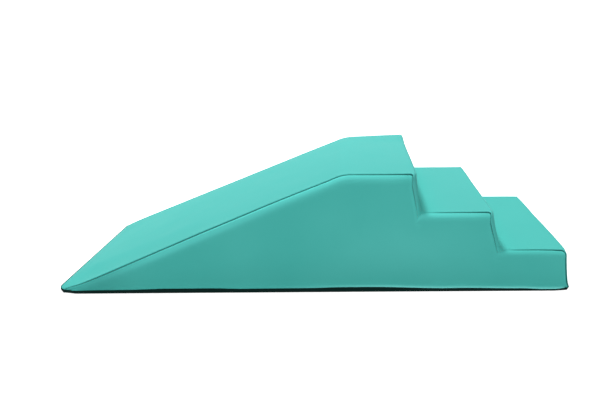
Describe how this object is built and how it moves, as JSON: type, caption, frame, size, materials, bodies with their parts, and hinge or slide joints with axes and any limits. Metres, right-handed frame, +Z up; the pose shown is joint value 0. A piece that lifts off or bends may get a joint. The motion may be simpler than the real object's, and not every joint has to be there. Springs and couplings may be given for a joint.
{
  "type": "soft play foam climber",
  "caption": "Long padded foam wedge with a ramp, a flat deck and descending steps in a sewn vinyl cover with a non-slip base and a zip at the back.",
  "frame": {"origin": "on the ground under the middle of the climber", "axes": "+X along the climber from the toe of the ramp to the end of the lowest step, +Y across it to the side with the zip, +Z up"},
  "size_m": [2, 0.7015, 0.477],
  "materials": {
    "vinyl": "satin coated vinyl, fine grain",
    "base_fabric": "matt anti-slip coated fabric",
    "foam": "open-cell polyurethane foam",
    "zip_tape": "woven polyester tape",
    "zip_coil": "nylon coil",
    "zip_metal": "dark painted die-cast metal"
  },
  "bodies": {
    "climber": {"core_lower_slab": "foam", "core_middle_slab": "foam", "core_upper_slab": "foam", "cover_top_strip": "vinyl", "cover_near_side": "vinyl", "cover_far_side": "vinyl", "cover_base": "base_fabric", "zip_tape_upper": "zip_tape", "zip_tape_lower": "zip_tape", "zip_coil_upper": "zip_coil", "zip_coil_lower": "zip_coil", "zip_bottom_stop": "zip_metal", "zip_top_stop": "zip_metal"},
    "slider": {"zip_slider": "zip_metal"},
    "pull": {"zip_pull": "zip_metal"}
  },
  "joints": [
    {"name": "zip_slide", "type": "slide", "parent": "climber", "child": "slider", "axis": [-1, 0, 0], "range_m": [0, 1.609]},
    {"name": "zip_pull_flip", "type": "hinge", "parent": "slider", "child": "pull", "pos_m": [0.8447, 0.34925, 0.04], "axis": [0, 0, -1], "range_deg": [0, 180]}
  ]
}
